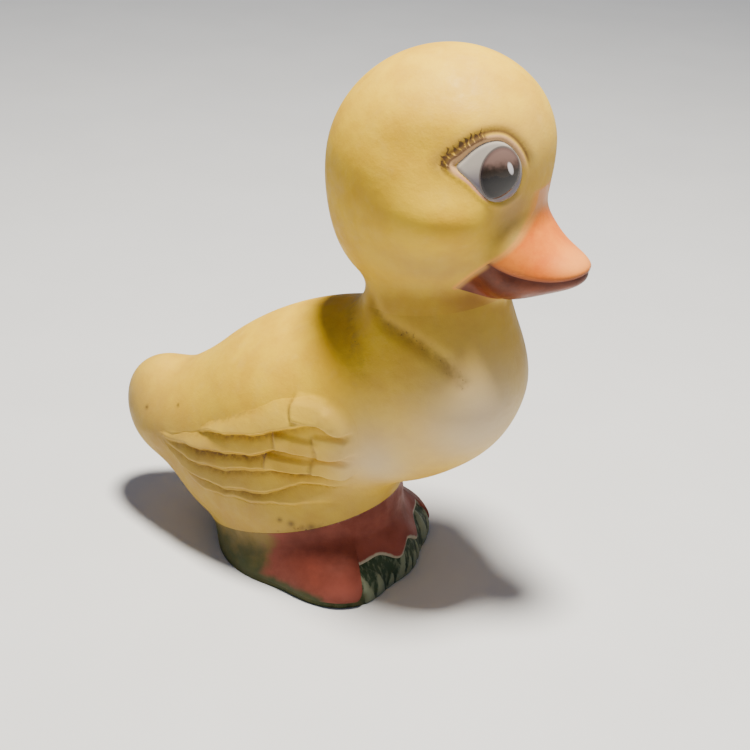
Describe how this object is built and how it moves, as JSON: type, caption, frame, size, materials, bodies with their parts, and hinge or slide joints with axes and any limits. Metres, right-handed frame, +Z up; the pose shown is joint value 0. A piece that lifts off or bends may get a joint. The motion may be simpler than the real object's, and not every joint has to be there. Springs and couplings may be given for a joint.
{
  "type": "squeaky rubber duckling",
  "caption": "Hollow painted rubber duckling standing on a small grass base, with a squeaker that has a sprung reed inside the base.",
  "frame": {"origin": "on the ground, under the middle of the toy's bounding box", "axes": "+X the way the duckling faces, +Y its left side, +Z up"},
  "size_m": [0.1142, 0.0514, 0.1301],
  "materials": {
    "yellow_rubber": "satin hand paint, pale yellow shaded to cream",
    "cream_rubber": "satin hand paint, cream to yellow with soft brown shading in the creases",
    "grass_paint": "matte hand paint, grey-green with dark green grass strokes",
    "bill_orange": "satin hand paint, orange",
    "eye_white": "gloss enamel paint",
    "iris_dark": "gloss enamel paint, mauve-brown above and near black below",
    "foot_brick": "satin hand paint, brick red",
    "squeaker_plastic": "plain moulded",
    "reed_brass": "bare spring strip"
  },
  "bodies": {
    "root": {"head_shell": "yellow_rubber", "body_shell": "cream_rubber", "grass_base": "grass_paint", "right_wing": "cream_rubber", "left_wing": "cream_rubber", "bill_upper": "bill_orange", "bill_lower": "bill_orange", "right_eye_white": "eye_white", "left_eye_white": "eye_white", "right_iris": "iris_dark", "left_iris": "iris_dark", "right_foot": "foot_brick", "left_foot": "foot_brick", "squeaker_housing": "squeaker_plastic", "squeaker_reed_plate": "squeaker_plastic", "squeaker_reed_clamp": "squeaker_plastic", "squeaker_cap": "squeaker_plastic"},
    "reed": {"squeaker_reed": "reed_brass"}
  },
  "joints": [
    {"name": "reed_flutter", "type": "hinge", "parent": "root", "child": "reed", "pos_m": [-0.0104, 0, 0.00595], "axis": [0, 1, 0], "range_deg": [-4, 4], "stiffness_Nm_per_rad": 0.001}
  ]
}
